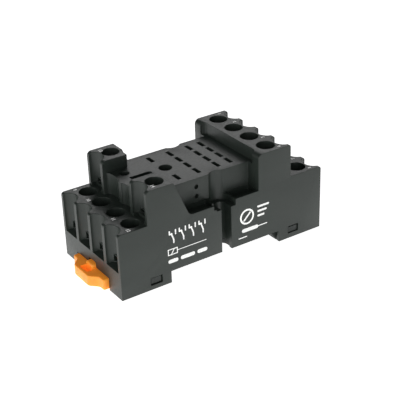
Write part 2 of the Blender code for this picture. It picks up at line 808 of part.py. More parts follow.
def make_terminal_screw(shop, terminal):
    """A cheese-head screw with a combined slot and cross, turning under the well's ledge."""
    x = terminal.screw_x
    y = terminal.lane * TERMINAL_PITCH
    head_z = terminal.bar_z + HEAD_BOTTOM
    top = head_z + HEAD_HEIGHT
    name = f"terminal_screw_{terminal.name}"
    head = rod_mesh(x, y, head_z, top, HEAD_RADIUS, segments=16)
    screw = shop.part(name, head, STEEL, pivot=(x, y, head_z))
    shank = shop.tool_set(f"{name}_shank")
    tip_z = terminal.bar_z + STRIP_THICKNESS + GAP
    shop.tool(shank, rod_mesh(x, y, tip_z, head_z + 0.4, SCREW_RADIUS, segments=12))
    shop.boolean(screw, shank, "UNION")
    drive = shop.tool_set(f"{name}_drive")
    half = DRIVE_WIDTH / 2
    long = HEAD_RADIUS + 0.5
    short = DRIVE_CROSS / 2
    floor = top - DRIVE_DEPTH
    shop.tool(drive, box_mesh((x - long, y - half, floor), (x + long, y + half, top + 1)))
    shop.tool(drive, box_mesh((x - half, y - short, floor), (x + half, y + short, top + 1)))
    shop.boolean(screw, drive, "DIFFERENCE")


# Base plate and rail clip


def base_outline():
    """The side outline of the base: two feet, the rail seat between them and the fixed hook."""
    start = CASE_WALL + GAP
    end = CASE_LENGTH - CASE_WALL - GAP
    under = RAIL_SEAT_Z + RAIL_SEAT_RISE
    seat_start = RAIL_CHANNEL_START + RAIL_SEAT_INSET
    seat_end = CHANNEL_END - RAIL_SEAT_INSET
    return (
        (start, 0.0),
        (RAIL_CHANNEL_START, 0.0),
        (RAIL_CHANNEL_START, under),
        (seat_start, under),
        (seat_start, RAIL_SEAT_Z),
        (seat_end, RAIL_SEAT_Z),
        (seat_end, under),
        (CHANNEL_END, under),
        (CHANNEL_END, HOOK_TOP_Z),
        (CHANNEL_END - HOOK_REACH, HOOK_TOP_Z),
        (CHANNEL_END - HOOK_REACH, HOOK_TOP_Z - HOOK_THICKNESS),
        (CHANNEL_END, HOOK_FOOT_Z),
        (CHANNEL_END, 0.0),
        (end, 0.0),
        (end, BASE_TOP_Z),
        (start, BASE_TOP_Z),
    )


def clip_channel_shapes():
    """The way for the rail clip: a wide slot over two lips, and the gap between the lips."""
    half = CLIP_PLATE_HALF_WIDTH + GAP
    end = RAIL_CHANNEL_START + 1
    lip_z = CLIP_PLATE_BOTTOM_Z - GAP
    return [
        box_mesh((0.0, -half, lip_z), (end, half, CLIP_TOP_Z + GAP)),
        box_mesh((0.0, BASE_LIP - half, BELOW), (end, half - BASE_LIP, lip_z + 1)),
    ]


def make_base_plate(shop):
    inner = HALF_WIDTH - CASE_WALL - GAP
    mesh = outline_mesh(base_outline(), -inner, inner, upright=True)
    base = shop.part("base_plate", mesh, BASE_BLACK)
    cuts = shop.tool_set("base_plate_cuts")
    for mesh in clip_channel_shapes():
        shop.tool(cuts, mesh)
    shop.tool(
        cuts,
        box_mesh(
            (CHANNEL_END + FOOT_WALL, FOOT_WALL - inner, BELOW),
            (CASE_LENGTH - CASE_WALL - GAP - FOOT_WALL, inner - FOOT_WALL, RAIL_SEAT_Z),
        ),
    )
    for side in (-1, 1):
        notch = panel_notch_outline(side, PANEL_SHANK_RADIUS + GAP)
        shop.tool(cuts, outline_mesh(notch, BELOW, BASE_TOP_Z + 1, upright=False))
    shop.boolean(base, cuts, "DIFFERENCE")
    added = shop.tool_set("base_plate_joined")
    for start in latch_starts():
        for mesh in mirrored_boxes(
            (start + GAP, inner - 0.5, LATCH_BOTTOM_Z + GAP),
            (start + LATCH_WIDTH - GAP, HALF_WIDTH - GAP, LATCH_BOTTOM_Z + LATCH_HEIGHT - GAP),
        ):
            shop.tool(added, mesh)
    peg_low = CLIP_PLATE_BOTTOM_Z + GAP
    shop.tool(added, rod_mesh(STOP_PEG_X, 0.0, peg_low, BASE_TOP_Z - 0.3, STOP_PEG_RADIUS))
    shop.boolean(base, added, "UNION")


def clip_outline():
    """The clip's plan outside the case: a flange, shoulders and a tongue to pull."""
    back = CASE_WALL
    return rounded(
        (
            (back, -CLIP_HALF_WIDTH, 0.0),
            (-CLIP_FLANGE, -CLIP_HALF_WIDTH, 0.5),
            (-CLIP_FLANGE, -CLIP_SHOULDER_HALF_WIDTH, 0.4),
            (-CLIP_TONGUE, -CLIP_TONGUE_HALF_WIDTH, 0.5),
            (-CLIP_TONGUE, CLIP_TONGUE_HALF_WIDTH, 0.5),
            (-CLIP_FLANGE, CLIP_SHOULDER_HALF_WIDTH, 0.4),
            (-CLIP_FLANGE, CLIP_HALF_WIDTH, 0.5),
            (back, CLIP_HALF_WIDTH, 0.0),
        ),
        steps=2,
    )


def make_rail_clip(shop):
    """The sliding clip: a tongue outside, a plate in the base and a nose under the rail."""
    tongue = outline_mesh(clip_outline(), CLIP_BOTTOM_Z, CLIP_TOP_Z, upright=False)
    clip = shop.part("rail_clip", tongue, ORANGE)
    added = shop.tool_set("rail_clip_joined")
    plate_end = RAIL_CHANNEL_START - GAP
    half = CLIP_PLATE_HALF_WIDTH
    for low, high in (
        ((0.4, -half, CLIP_PLATE_BOTTOM_Z), (plate_end, half, CLIP_TOP_Z)),
        (
            (plate_end - 1, -half + BASE_LIP, CLIP_PLATE_BOTTOM_Z),
            (RAIL_CHANNEL_START + CLIP_NOSE, half - BASE_LIP, HOOK_TOP_Z),
        ),
        (
            (-THUMB_HOLLOW_START, -HOOD_HALF_WIDTH, CLIP_TOP_Z - 0.5),
            (THUMB_HOLLOW_START, HOOD_HALF_WIDTH, HOOD_Z),
        ),
    ):
        shop.tool(added, box_mesh(low, high))
    shop.boolean(clip, added, "UNION")
    cuts = shop.tool_set("rail_clip_cuts")
    reach = STOP_PEG_RADIUS + GAP
    shop.tool(
        cuts,
        box_mesh(
            (STOP_PEG_X - reach, -reach, BELOW), (STOP_PEG_X + reach + CLIP_TRAVEL, reach, HOOD_Z)
        ),
    )
    shop.tool(
        cuts,
        box_mesh(
            (
                -THUMB_HOLLOW_START - THUMB_HOLLOW_LENGTH,
                -HOOD_HALF_WIDTH,
                CLIP_PLATE_BOTTOM_Z,
            ),
            (-THUMB_HOLLOW_START, HOOD_HALF_WIDTH, HOOD_Z),
        ),
    )
    shop.boolean(clip, cuts, "DIFFERENCE")


def main():
    clear_scene()
    shop = Workshop()
    terminals = all_terminals()
    make_upper_housing(shop, terminals)
    make_base_plate(shop)
    make_rail_clip(shop)
    for terminal in terminals:
        make_contact(shop, terminal)
        make_wire_clamp(shop, terminal)
        make_terminal_screw(shop, terminal)
    shop.add_booleans()


main()
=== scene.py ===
"""The looks of a rail-mounted screw terminal socket for a plug-in relay.

Sizes are in millimetres from the case's own corner: x from the clip end, y from the middle plane
and z from the feet. at() turns them into the frame's metres.
"""

import math

import bpy
from mathutils import Matrix, Vector


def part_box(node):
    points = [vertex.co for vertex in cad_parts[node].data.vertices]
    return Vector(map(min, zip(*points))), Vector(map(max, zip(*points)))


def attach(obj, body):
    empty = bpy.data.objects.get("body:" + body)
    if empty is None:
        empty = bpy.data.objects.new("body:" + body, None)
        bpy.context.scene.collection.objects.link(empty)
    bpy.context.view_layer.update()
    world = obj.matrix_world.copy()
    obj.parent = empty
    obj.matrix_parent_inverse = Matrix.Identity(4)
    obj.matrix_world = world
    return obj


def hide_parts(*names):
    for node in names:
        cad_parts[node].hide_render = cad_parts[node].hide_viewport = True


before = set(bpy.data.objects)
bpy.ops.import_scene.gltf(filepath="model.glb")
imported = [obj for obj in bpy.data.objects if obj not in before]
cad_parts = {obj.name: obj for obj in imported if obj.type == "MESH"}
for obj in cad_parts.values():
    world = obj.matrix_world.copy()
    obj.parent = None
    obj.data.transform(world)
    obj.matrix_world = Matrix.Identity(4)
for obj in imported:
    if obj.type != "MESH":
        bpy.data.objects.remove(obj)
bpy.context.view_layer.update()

MM = 0.001
GAP = 0.3
CASE_LOW, CASE_HIGH = (Vector(corner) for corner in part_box("upper_housing"))
CORNER = Vector((CASE_LOW.x, 0.0, CASE_LOW.z))

# Case
LENGTH = (CASE_HIGH.x - CASE_LOW.x) / MM
HALF_WIDTH = CASE_HIGH.y / MM
TOP = (CASE_HIGH.z - CASE_LOW.z) / MM
PITCH = 7.46
BAY_HALF_WIDTH = 3.08
BAY_DEPTH = 2.5
DECK = 19.3
PLATFORM = 25.4
LEDGE = 18.3
SEAT = 3.5
CHANNEL = (15.3, 51.3)
TOWER = (8.8, 16.5)
TOWER_INNER_Y = 6.9
DRIVER_WALL_X = 10.0
PLATFORM_HALF_WIDTH = 10.5
BLOCK = (45.5, 55.2)
PILASTER_X = 44.2
PILASTER_INNER_Y = 12.4
PANEL_SCREW = (33.4, 12.6)
FLANK_FOOT = (21.7, 0.0, LEDGE)
FLANK_CREST = (17.3, 0.0, 28.6)
WALL = 1.2
CAVITY_TOP = 5.2
OUTSIDE = HALF_WIDTH + 4.0
MERGE = 0.02
OVER = TOP + 3.0
UNDER = -2.0
TOUCHING = 0.02

# Terminals
WELL_RADIUS = 2.52
TOWER_WELL_RADIUS = 2.4
WELL_RIM = 0.3
HEAD_HEIGHT = 1.3
HEAD_RADIUS = 2.1
SHANK_RADIUS = 1.45
BAR_DROP = 4.3

# Relay pins: each row's x, and the lanes that hold a pin
PIN_PITCH = 4.4
ALL_LANES = (1.5, 0.5, -0.5, -1.5)
PIN_ROWS = (
    (23.61, (1.5, -1.5)),
    (29.96, ALL_LANES),
    (36.31, ALL_LANES),
    (40.37, ALL_LANES),
)
KEY_SLOT = (13.4, 19.15)
KEY_SLOT_HALF_WIDTH = 0.85

GROUPS = {"com": 4, "no": 4, "nc": 4, "coil": 2}
TERMINALS = [f"{group}_{n}" for group, count in GROUPS.items() for n in range(1, count + 1)]
NUMBERS = {"nc": 1, "no": 5, "com": 9, "coil": 13}

# Marking ink
INK_THICKNESS = 0.03
NUMBER_HEIGHT = 1.45

# Studio: each softbox's place, size and power
SOFTBOXES = {
    "front_softbox": ((-0.22, -0.50, 0.20), (0.5, 0.35), 0.8),
    "clip_end_softbox": ((-0.55, 0.05, 0.16), (0.35, 0.3), 0.9),
    "back_softbox": ((0.30, 0.46, 0.36), (0.45, 0.3), 0.85),
    "top_softbox": ((0.05, -0.05, 0.7), (0.5, 0.5), 0.08),
}
SOFTBOX_AIM = (0, 0, 0.01)
FLOOR_SIZE = 6
FLOOR_DROP = 0.0001
CAMERA_PLACE = (-111.14, -223.10, 152.26)
CAMERA_TURN = (-33.246, 27.728, -1.964)
CAMERA_LENS = 96.7


def at(x, y, z):
    return CORNER + Vector((x, y, z)) * MM


def in_case(point):
    return (Vector(point) - CORNER) / MM


# Modelling helpers


def deselect():
    if bpy.context.mode != "OBJECT":
        bpy.ops.object.mode_set(mode="OBJECT")
    bpy.ops.object.select_all(action="DESELECT")


def make_active(obj):
    deselect()
    obj.select_set(True)
    bpy.context.view_layer.objects.active = obj


def settle():
    """Puts the active object's place, turn and scale into its mesh."""
    bpy.ops.object.transform_apply(location=True, rotation=True, scale=True)
    return bpy.context.object


def block(low, high):
    deselect()
    middle = [(a + b) / 2 for a, b in zip(low, high)]
    size = [(b - a) * MM for a, b in zip(low, high)]
    bpy.ops.mesh.primitive_cube_add(size=1, location=at(*middle), scale=size)
    return settle()


def rod(x, y, low, high, radius, vertices=48, radius_y=None):
    deselect()
    bpy.ops.mesh.primitive_cylinder_add(
        vertices=vertices,
        radius=1,
        depth=(high - low) * MM,
        location=at(x, y, (low + high) / 2),
        scale=(radius * MM, (radius_y or radius) * MM, 1),
    )
    return settle()


def select_parts(obj, kind, wanted):
    """Selects the edges or faces that wanted accepts, and goes into edit mode."""
    make_active(obj)
    bpy.ops.object.mode_set(mode="EDIT")
    bpy.ops.mesh.select_mode(type=kind)
    bpy.ops.mesh.select_all(action="DESELECT")
    bpy.ops.object.mode_set(mode="OBJECT")
    mesh = obj.data
    if kind == "FACE":
        for face in mesh.polygons:
            face.select = wanted(in_case(face.center), face.normal)
    else:
        for edge in mesh.edges:
            ends = [in_case(mesh.vertices[v].co) for v in edge.vertices]
            edge.select = wanted(*ends)
    bpy.ops.object.mode_set(mode="EDIT")


def bevel_edges(obj, width, segments, wanted):
    select_parts(obj, "EDGE", wanted)
    bpy.ops.mesh.bevel(
        offset=width * MM, segments=segments, profile=0.5, affect="EDGES", clamp_overlap=True
    )
    bpy.ops.object.mode_set(mode="OBJECT")
    return obj


def slice_off(obj, point, normal):
    """Cuts off the side of obj that normal points to, and closes the cut."""
    make_active(obj)
    bpy.ops.object.mode_set(mode="EDIT")
    bpy.ops.mesh.select_all(action="SELECT")
    bpy.ops.mesh.bisect(
        plane_co=at(*point), plane_no=normal, use_fill=True, clear_inner=False, clear_outer=True
    )
    bpy.ops.object.mode_set(mode="OBJECT")
    return obj


def flare_top(obj, top, centre, radii, width):
    """Draws the top face up and outwards, so that what the tool cuts gets a rounded rim."""
    select_parts(obj, "FACE", lambda c, n: n.z > 0.9 and abs(c.z - top) < 0.01)
    rx, ry = radii
    for rise, out in ((0.62, 0.10), (0.28, 0.28), (0.10, 0.62)):
        rise, out = rise * width, out * width
        bpy.ops.mesh.extrude_region_move(TRANSFORM_OT_translate={"value": (0, 0, rise * MM)})
        grow = ((rx + out) / rx, (ry + out) / ry, 1)
        bpy.ops.transform.resize(value=grow, center_override=at(*centre, top))
        rx += out
        ry += out
    bpy.ops.mesh.extrude_region_move(TRANSFORM_OT_translate={"value": (0, 0, 2 * MM)})
    bpy.ops.object.mode_set(mode="OBJECT")
    return obj


def joined(objects):
    make_active(objects[0])
    for obj in objects:
        obj.select_set(True)
    bpy.ops.object.join()
    return bpy.context.object


def combine(target, tools, operation="DIFFERENCE"):
    """One Boolean with all the tools, applied; the tools are removed."""
    group = bpy.data.collections.new("tools")
    bpy.context.scene.collection.children.link(group)
    for tool in tools:
        for home in list(tool.users_collection):
            home.objects.unlink(tool)
        group.objects.link(tool)
    modifier = target.modifiers.new("combine", "BOOLEAN")
    modifier.operation = operation
    modifier.solver = "EXACT"
    modifier.operand_type = "COLLECTION"
    modifier.collection = group
    make_active(target)
    bpy.ops.object.modifier_apply(modifier="combine")
    for tool in tools:
        bpy.data.objects.remove(tool, do_unlink=True)
    bpy.data.collections.remove(group)
    return target


def clean(obj):
    """Merges doubled points and the flat faces that a Boolean left in pieces."""
    make_active(obj)
    bpy.ops.object.mode_set(mode="EDIT")
    bpy.ops.mesh.select_all(action="SELECT")
    bpy.ops.mesh.remove_doubles(threshold=2e-6)
    bpy.ops.mesh.dissolve_limited(angle_limit=math.radians(0.5))
    bpy.ops.object.mode_set(mode="OBJECT")
    return obj


def bevel_sharp(obj, width, segments, degrees):
    modifier = obj.modifiers.new("edges", "BEVEL")
    modifier.width = width * MM
    modifier.segments = segments
    modifier.limit_method = "ANGLE"
    modifier.angle_limit = math.radians(degrees)
    modifier.use_clamp_overlap = True
    make_active(obj)
    bpy.ops.object.modifier_apply(modifier="edges")
    return obj


def smooth(obj):
    make_active(obj)
    bpy.ops.object.shade_smooth_by_angle(angle=math.radians(32))
    return obj


def copied(obj, shift):
    copy = obj.copy()
    copy.data = obj.data.copy()
    bpy.context.scene.collection.objects.link(copy)
    copy.data.transform(Matrix.Translation(shift))
    return copy


def finish_piece(obj, name, material, body, *nodes, slot=None):
    """Names and dresses a piece, and says what it rides on and which nodes it replaces."""
    obj.name = name
    obj.data.name = name
    obj.data.materials.clear()
    obj.data.materials.append(material)
    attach(obj, body)
    if nodes:
        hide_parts(*nodes)
    return obj


# Materials


class Surface:
    """A material under construction: its node tree, its shader and its Object coordinates."""

    def __init__(self, name, colour, roughness, metallic=0.0):
        self.material = bpy.data.materials.new(name)
        self.material.use_nodes = True
        self.nodes = self.material.node_tree.nodes
        self.links = self.material.node_tree.links
        self.shader = self.nodes["Principled BSDF"]
        self.shader.inputs["Base Color"].default_value = (*colour, 1)
        self.shader.inputs["Roughness"].default_value = roughness
        self.shader.inputs["Metallic"].default_value = metallic
        self.place = self.nodes.new("ShaderNodeTexCoord").outputs["Object"]

    def stretched(self, scale):
        mapping = self.nodes.new("ShaderNodeMapping")
        mapping.inputs["Scale"].default_value = scale
        self.links.new(self.place, mapping.inputs["Vector"])
        return mapping.outputs["Vector"]

    def noise(self, scale, detail, place=None):
        node = self.nodes.new("ShaderNodeTexNoise")
        node.inputs["Scale"].default_value = scale
        node.inputs["Detail"].default_value = detail
        node.inputs["Roughness"].default_value = 0.55
        self.links.new(place or self.place, node.inputs["Vector"])
        return node.outputs["Fac"]

    def ranged(self, value, low, high, start=0.3, end=0.7):
        node = self.nodes.new("ShaderNodeMapRange")
        node.inputs["From Min"].default_value = start
        node.inputs["From Max"].default_value = end
        node.inputs["To Min"].default_value = low
        node.inputs["To Max"].default_value = high
        self.links.new(value, node.inputs["Value"])
        return node.outputs["Result"]

    def blended(self, factor, first, second):
        node = self.nodes.new("ShaderNodeMix")
        node.data_type = "RGBA"
        node.inputs["A"].default_value = (*first, 1)
        node.inputs["B"].default_value = (*second, 1)
        self.links.new(factor, node.inputs["Factor"])
        return node.outputs["Result"]

    def colour(self, output):
        self.links.new(output, self.shader.inputs["Base Color"])

    def roughness(self, output):
        self.links.new(output, self.shader.inputs["Roughness"])

    def relief(self, heights, edge_radius):
        """Bumps from (height, strength, distance) laid over edges rounded by edge_radius."""
        edge = self.nodes.new("ShaderNodeBevel")
        edge.samples = 6
        edge.inputs["Radius"].default_value = edge_radius
        normal = edge.outputs["Normal"]
        for height, strength, distance in heights:
            bump = self.nodes.new("ShaderNodeBump")
            bump.inputs["Strength"].default_value = strength
            bump.inputs["Distance"].default_value = distance
            self.links.new(height, bump.inputs["Height"])
            self.links.new(normal, bump.inputs["Normal"])
            normal = bump.outputs["Normal"]
        self.links.new(normal, self.shader.inputs["Normal"])


def moulded_plastic(name, dark, light, roughness):
    """Moulded polyamide: a fine spark-eroded grain, slow flow marks and uneven gloss."""
    surface = Surface(name, dark, roughness)
    grain = surface.noise(5200, detail=2.0)
    flow = surface.noise(70, detail=2.0, place=surface.stretched((0.6, 1.0, 1.6)))
    speck = surface.noise(1500, detail=3.0)
    surface.colour(surface.blended(surface.ranged(flow, 0.0, 1.0), dark, light))
    surface.roughness(surface.ranged(speck, roughness - 0.05, roughness + 0.06))
    surface.relief(((flow, 0.15, 0.05 * MM), (grain, 0.22, 0.012 * MM)), 0.12 * MM)
    surface.shader.inputs["IOR"].default_value = 1.5
    return surface.material


def clip_plastic():
    """Bright moulded plastic that lets a little light in, with a faint painted orange glow of its
    own.
    """
    dark, light = (0.95, 0.33, 0.030), (1.0, 0.40, 0.045)
    surface = Surface("clip_orange_plastic", dark, 0.38)
    flow = surface.noise(160, detail=2.0)
    grain = surface.noise(4200, detail=2.0)
    surface.colour(surface.blended(surface.ranged(flow, 0.0, 1.0), dark, light))
    surface.roughness(surface.ranged(grain, 0.33, 0.45))
    surface.relief(((grain, 0.15, 0.01 * MM),), 0.15 * MM)
    # Painted glow: the clip emits a little orange light, so it reads brighter than its lighting
    # makes it.
    surface.shader.inputs["Emission Color"].default_value = (1.0, 0.30, 0.03, 1)
    surface.shader.inputs["Emission Strength"].default_value = 0.22
    surface.shader.inputs["Subsurface Weight"].default_value = 0.35
    surface.shader.inputs["Subsurface Radius"].default_value = (1.0, 0.45, 0.12)
    surface.shader.inputs["Subsurface Scale"].default_value = 1.2 * MM
    return surface.material


def plated_steel():
    """Zinc-plated steel with fine turning lines and a cloudy plating."""
    dark, light = (0.40, 0.40, 0.385), (0.60, 0.60, 0.58)
    surface = Surface("zinc_plated_steel", light, 0.36, metallic=1.0)
    cloud = surface.noise(900, detail=4.0)
    lines = surface.noise(2500, detail=2.0, place=surface.stretched((0.2, 0.2, 4.0)))
    surface.colour(surface.blended(surface.ranged(cloud, 0.0, 1.0), dark, light))
    surface.roughness(surface.ranged(cloud, 0.30, 0.48))
    surface.relief(((lines, 0.2, 0.01 * MM),), 0.08 * MM)
    return surface.material


def stamped_brass():
    """Rolled brass strip with faint rolling lines and a dull tarnish."""
    dark, light = (0.50, 0.34, 0.13), (0.78, 0.58, 0.27)
    surface = Surface("rolled_brass", light, 0.32, metallic=1.0)
    tarnish = surface.noise(450, detail=4.0)
    lines = surface.noise(1800, detail=2.0, place=surface.stretched((0.1, 3.0, 3.0)))
    surface.colour(surface.blended(surface.ranged(tarnish, 0.0, 1.0), dark, light))
    surface.roughness(surface.ranged(tarnish, 0.24, 0.44))
    surface.relief(((lines, 0.15, 0.01 * MM),), 0.06 * MM)
    return surface.material


def pad_print():
    """White marking ink, a little uneven, with a faint painted glow of its own."""
    dull, bright = (0.80, 0.81, 0.79), (0.95, 0.96, 0.94)
    surface = Surface("white_marking_ink", bright, 0.55)
    cover = surface.noise(2600, detail=3.0)
    surface.colour(surface.blended(surface.ranged(cover, 0.0, 1.0, 0.25, 0.6), dull, bright))
    surface.roughness(surface.ranged(cover, 0.48, 0.62))
    # Painted glow: the ink emits a little white light, so it stays bright where it lies in shade.
    surface.shader.inputs["Emission Color"].default_value = (1, 1, 1, 1)
    surface.shader.inputs["Emission Strength"].default_value = 0.25
    return surface.material


def floor_paint():
    """Pale paper that shines enough to read as white."""
    dull, bright = (0.88, 0.88, 0.88), (0.9, 0.9, 0.9)
    surface = Surface("studio_floor", bright, 0.9)
    tone = surface.noise(2.0, detail=1.0)
    surface.colour(surface.blended(surface.ranged(tone, 0.0, 1.0), dull, bright))
    surface.shader.inputs["Emission Color"].default_value = (1, 1, 1, 1)
    surface.shader.inputs["Emission Strength"].default_value = 0.97
    return surface.material


# Housing


def is_vertical(a, b):
    return abs(a.x - b.x) < 0.01 and abs(a.y - b.y) < 0.01


def runs_along_x(a, b):
    return abs(a.x - b.x) > 1


def runs_along_y(a, b):
    return abs(a.y - b.y) > 1


def lies_at_x(x, a, b):
    return abs(a.x - x) + abs(b.x - x) < TOUCHING


def lies_at_z(z, a, b):
    return abs(a.z - z) + abs(b.z - z) < TOUCHING


def recess_tool(side):
    """The open corner beside the platform, with the tower's sloping flank left standing."""
    near, far = sorted((side * PLATFORM_HALF_WIDTH, side * OUTSIDE))
    tool = block((TOWER[0] + 2, near, LEDGE), (PILASTER_X, far, OVER))
    along = (Vector(FLANK_CREST) - Vector(FLANK_FOOT)).normalized()
    slice_off(tool, FLANK_FOOT, (-along.z, 0, along.x))
    return bevel_edges(tool, 1.1, 4, lambda a, b: lies_at_z(LEDGE, a, b) and a.x + b.x < 44)


def pocket_tools(side):
    """Shallow pockets in the ledge on both sides of the panel screw, and the notch beside it."""
    x = PANEL_SCREW[0]
    tools = []
    for low, high in ((22.6, x - 3.6), (x + 3.6, PILASTER_X - 0.2)):
        near, far = sorted((side * (PLATFORM_HALF_WIDTH + 0.3), side * (HALF_WIDTH - 0.9)))
        pocket = block((low, near, LEDGE - 1.0), (high, far, LEDGE + 1))
        tools.append(bevel_edges(pocket, 0.5, 4, is_vertical))
    near, far = sorted((side * (HALF_WIDTH - 1.5), side * OUTSIDE))
    tools.append(block((x - 3.9, near, 17.0), (x - 2.9, far, LEDGE + 1)))
    near, far = sorted((side * (PLATFORM_HALF_WIDTH - 1.2), side * (PLATFORM_HALF_WIDTH + 1)))
    for z in (19.5, 22.3):
        hole = block((26.6, near, z), (27.8, far, z + 1.25))
        tools.append(bevel_edges(hole, 0.45, 4, runs_along_y))
    return tools


def panel_screw_tools(side):
    x, y = PANEL_SCREW[0], side * PANEL_SCREW[1]
    tools = []
    for radius, low, high in ((3.1, 16.5, OVER), (1.6, UNDER, 17.0)):
        tools.append(rod(x, y, low, high, radius, vertices=64))
        near, far = sorted((y, side * OUTSIDE))
        tools.append(block((x - radius, near, low), (x + radius, far, high)))
    return tools


def rough_case():
    """The stepped case with its recesses, before the wells and slots."""
    case = block((0, -HALF_WIDTH, 0), (LENGTH, HALF_WIDTH, TOP))
    tools = [
        block((UNDER, -OUTSIDE, DECK), (TOWER[0], OUTSIDE, OVER)),
        block((BLOCK[1], -OUTSIDE, DECK), (LENGTH + 2, OUTSIDE, OVER)),
        block((CHANNEL[0], -OUTSIDE, UNDER), (CHANNEL[1], OUTSIDE, SEAT)),
        block((TOWER[0] - 1, -TOWER_INNER_Y, DECK), (DRIVER_WALL_X, TOWER_INNER_Y, PLATFORM + 1)),
        block((TOWER[0] - 1, -TOWER_INNER_Y, PLATFORM), (TOWER[1] + 2, TOWER_INNER_Y, OVER)),
        block(
            (TOWER[1], -PLATFORM_HALF_WIDTH - MERGE, PLATFORM),
            (PILASTER_X, PLATFORM_HALF_WIDTH + MERGE, OVER),
        ),
        recess_tool(-1),
        recess_tool(1),
    ]
    return clean(combine(case, tools))


def cut_between_pilasters(case):
    """The straight recess behind the platform and the notches for the panel screws."""
    recess = block(
        (PILASTER_X - 0.5, -PILASTER_INNER_Y, PLATFORM), (BLOCK[0], PILASTER_INNER_Y, OVER)
    )
    recess = bevel_edges(recess, 1.1, 6, lambda a, b: is_vertical(a, b) and a.x > PILASTER_X)
    return clean(combine(case, [recess] + panel_screw_tools(-1) + panel_screw_tools(1)))


def round_case(case):
    """The larger roundings, one after the other, and then every outer edge."""
    def on_top(a, b):
        return min(a.z, b.z) > TOP - 0.01

    def towers(a, b):
        return lies_at_x(TOWER[0], a, b) and on_top(a, b)

    def deck_ends(a, b):
        return (lies_at_x(0, a, b) or lies_at_x(LENGTH, a, b)) and lies_at_z(DECK, a, b)

    def pilasters(a, b):
        return lies_at_x(PILASTER_X, a, b) and on_top(a, b)

    def block_end(a, b):
        return lies_at_x(BLOCK[1], a, b) and on_top(a, b)

    for width, segments, wanted in (
        (1.3, 8, towers), (0.8, 5, deck_ends), (1.5, 8, pilasters), (0.6, 4, block_end)
    ):
        bevel_edges(case, width, segments, wanted)
    return bevel_sharp(cut_between_pilasters(case), 0.22, segments=3, degrees=42)


def terminal_place(name):
    """A terminal's group, the middle of its screw and the underside of its screw's head."""
    low, high = (in_case(corner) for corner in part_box(f"terminal_screw_{name}"))
    group = name.split("_")[0]
    head = high.z - HEAD_HEIGHT
    return group, (low.x + high.x) / 2, (low.y + high.y) / 2, head


def bay_wall(group):
    """The x of the wall that a group's wire bays are cut into, and which way is inward."""
    face = {"com": 0.0, "no": LENGTH, "nc": BLOCK[1], "coil": TOWER[0]}[group]
    return face, 1 if group in ("com", "coil") else -1


def terminal_tools(name):
    """Well, clamp chamber, wire hole and scalloped wire bay of one terminal."""
    group, x, y, head = terminal_place(name)
    lower = group in ("com", "no")
    deck = DECK if lower else TOP
    face, inward = bay_wall(group)
    radius = TOWER_WELL_RADIUS if group == "coil" else WELL_RADIUS
    seat = head - GAP
    rim = WELL_RIM
    well = rod(x, y, seat, deck - rim, radius, vertices=56)
    tools = [flare_top(well, deck - rim, (x, y), (radius, radius), rim)]
    tools.append(rod(x, y, seat - 1.2, seat + 0.3, 1.8, vertices=32))
    bar = head - BAR_DROP
    tools.append(block((x - 2.2, y - 2.8, CAVITY_TOP - 1), (x + 2.2, y + 2.8, bar + 3.6)))
    floor = 8.6 if lower else DECK + 0.9
    hole = sorted((face + inward * (BAY_DEPTH - 1.0), x))
    tools.append(block((hole[0], y - 2.15, floor), (hole[1], y + 2.15, bar + 0.35)))
    start = 7.85 if lower else DECK + 0.82
    bay = rod(face, y, start - 1, deck - rim, BAY_DEPTH, vertices=64, radius_y=BAY_HALF_WIDTH)
    flare_top(bay, deck - rim, (face, y), (BAY_DEPTH, BAY_HALF_WIDTH), rim)
    if lower:
        slice_off(bay, (face, y, start), (inward * 0.28, 0, -1))
    else:
        slice_off(bay, (face, y, start), (0, 0, -1))
        near, far = sorted((face - inward * 0.3, face + inward * 1.4))
        half = BAY_HALF_WIDTH * math.sqrt(1 - (1.4 / BAY_DEPTH) ** 2)
        tools.append(block((near, y - half, DECK + 0.03), (far, y + half, start + 0.3)))
    tools.append(bay)
    return tools


def wire_lip(name):
    """A thin straight lip over a wire hole, across the curved back of its bay."""
    group, _, y, head = terminal_place(name)
    face, inward = bay_wall(group)
    bar = head - BAR_DROP
    start, end = sorted((face + inward * 1.9, face + inward * 3.2))
    lip = block((start, y - 2.0, bar + 0.1), (end, y + 2.0, bar + 0.45))
    return bevel_edges(lip, 0.08, 2, runs_along_y)


def slot_tool(x, y, half_x, half_y, depth):
    """A slot in the platform whose mouth is drawn out a little."""
    rim = 0.12
    tool = block(
        (x - half_x, y - half_y, PLATFORM - depth), (x + half_x, y + half_y, PLATFORM - rim)
    )
    select_parts(tool, "FACE", lambda c, n: n.z > 0.9)
    bpy.ops.mesh.extrude_region_move(TRANSFORM_OT_translate={"value": (0, 0, rim * MM)})
    grow = ((half_x + rim) / half_x, (half_y + rim) / half_y, 1)
    bpy.ops.transform.resize(value=grow, center_override=at(x, y, PLATFORM))
    bpy.ops.mesh.extrude_region_move(TRANSFORM_OT_translate={"value": (0, 0, 1 * MM)})
    bpy.ops.object.mode_set(mode="OBJECT")
    return tool


def platform_tools():
    """The relay's pin slots with a fork chamber under each, and the keying holes."""
    tools = []
    for x, lanes in PIN_ROWS:
        for lane in lanes:
            y = lane * PIN_PITCH
            tools.append(slot_tool(x, y, 0.5, 1.5, 2.5))
            low, high = (x - 1.4, y - 1.65, CAVITY_TOP - 1), (x + 1.4, y + 1.65, PLATFORM - 1.2)
            tools.append(block(low, high))
    rim = 0.2
    holes = ((24.25, 0.0, 1.8, 6.0), (13.7, 3.8, 1.3, 3.0), (13.7, -3.8, 1.3, 3.0))
    for x, y, radius, depth in holes:
        hole = rod(x, y, PLATFORM - depth, PLATFORM - rim, radius, vertices=48)
        tools.append(flare_top(hole, PLATFORM - rim, (x, y), (radius, radius), rim))
    start, end = KEY_SLOT
    half = KEY_SLOT_HALF_WIDTH
    tools.append(block((start, -half, PLATFORM - 2.5), (end, half, PLATFORM + 1)))
    tools.append(rod(end, 0.0, PLATFORM - 2.4, PLATFORM + 1.1, 0.84, vertices=32))
    return tools


